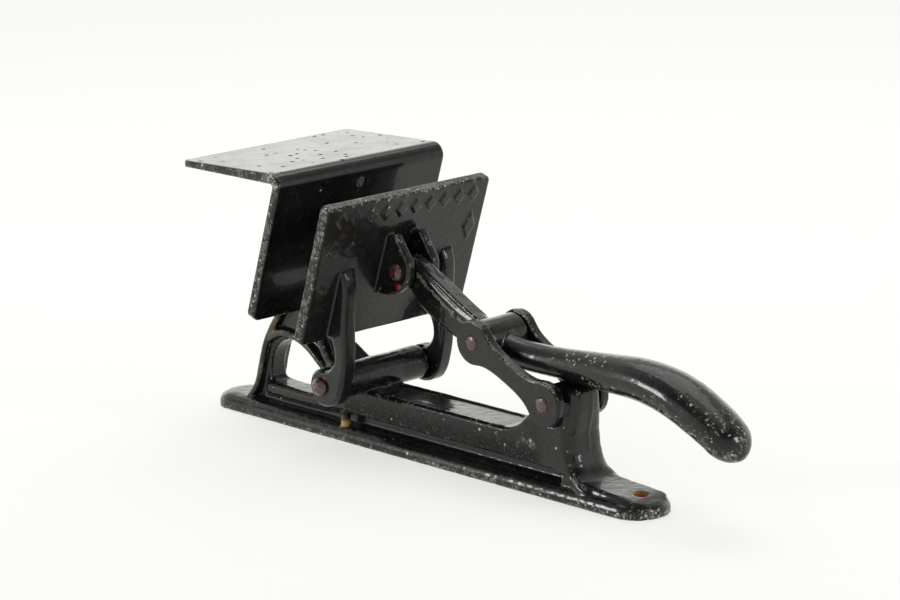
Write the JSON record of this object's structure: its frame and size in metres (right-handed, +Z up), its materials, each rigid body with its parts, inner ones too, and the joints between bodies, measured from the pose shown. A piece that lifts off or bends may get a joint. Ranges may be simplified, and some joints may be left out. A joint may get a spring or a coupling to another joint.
{
  "type": "lever toggle press",
  "caption": "Small cast-iron bench press: a lever and toggle links swing one leaning jaw plate up to a fixed one with a shelf along its top.",
  "frame": {"origin": "centre of the foot's underside, midway along the foot and midway across it", "axes": "+X along the foot from the fixed jaw towards the lever's grip, +Y across the jaws, +Z up from the bench"},
  "size_m": [0.3454, 0.106, 0.1368],
  "materials": {
    "base_frame": "glossy black japan, chipped and worn to bare iron along the edges",
    "fixed_jaw": "glossy black japan, chipped and worn to bare iron along the edges",
    "fixed_jaw_rivet_upper": "dark red-brown with old rust, heads polished by wear",
    "fixed_jaw_rivet_lower": "dark red-brown with old rust, heads polished by wear",
    "moving_jaw": "glossy black japan, chipped and worn to bare iron along the edges",
    "jaw_pivot_rod": "dark red-brown with old rust, heads polished by wear",
    "clevis_pin": "dark red-brown with old rust, heads polished by wear",
    "toggle_link_near": "glossy black japan, chipped and worn to bare iron along the edges",
    "toggle_link_far": "glossy black japan, chipped and worn to bare iron along the edges",
    "link_top_pin": "dark red-brown with old rust, heads polished by wear",
    "link_bottom_pin": "dark red-brown with old rust, heads polished by wear",
    "lever": "glossy black japan, chipped and worn to bare iron along the edges"
  },
  "bodies": {
    "base": {"base_frame": "base_frame", "fixed_jaw": "fixed_jaw", "fixed_jaw_rivet_upper": "fixed_jaw_rivet_upper", "fixed_jaw_rivet_lower": "fixed_jaw_rivet_lower"},
    "jaw": {"moving_jaw": "moving_jaw", "jaw_pivot_rod": "jaw_pivot_rod", "clevis_pin": "clevis_pin"},
    "links": {"toggle_link_near": "toggle_link_near", "toggle_link_far": "toggle_link_far", "link_top_pin": "link_top_pin", "link_bottom_pin": "link_bottom_pin"},
    "lever": {"lever": "lever"}
  },
  "joints": [
    {"name": "links_swing", "type": "hinge", "parent": "base", "child": "links", "pos_m": [0.0904, 0, 0.0444], "axis": [0, 1, 0], "range_deg": [0, 30]},
    {"name": "lever_pivot", "type": "hinge", "parent": "links", "child": "lever", "pos_m": [0.0458, 0, 0.0653], "axis": [0, 1, 0], "range_deg": [-56, 0]},
    {"name": "jaw_swing", "type": "hinge", "parent": "base", "child": "jaw", "pos_m": [-0.0378, 0, 0.0334], "axis": [0, 1, 0], "range_deg": [0, 13.4]}
  ],
  "couplings": [
    {"joint": "lever_pivot", "follows": "links_swing", "ratio": -1.8624},
    {"joint": "jaw_swing", "follows": "links_swing", "ratio": 0.44218}
  ]
}
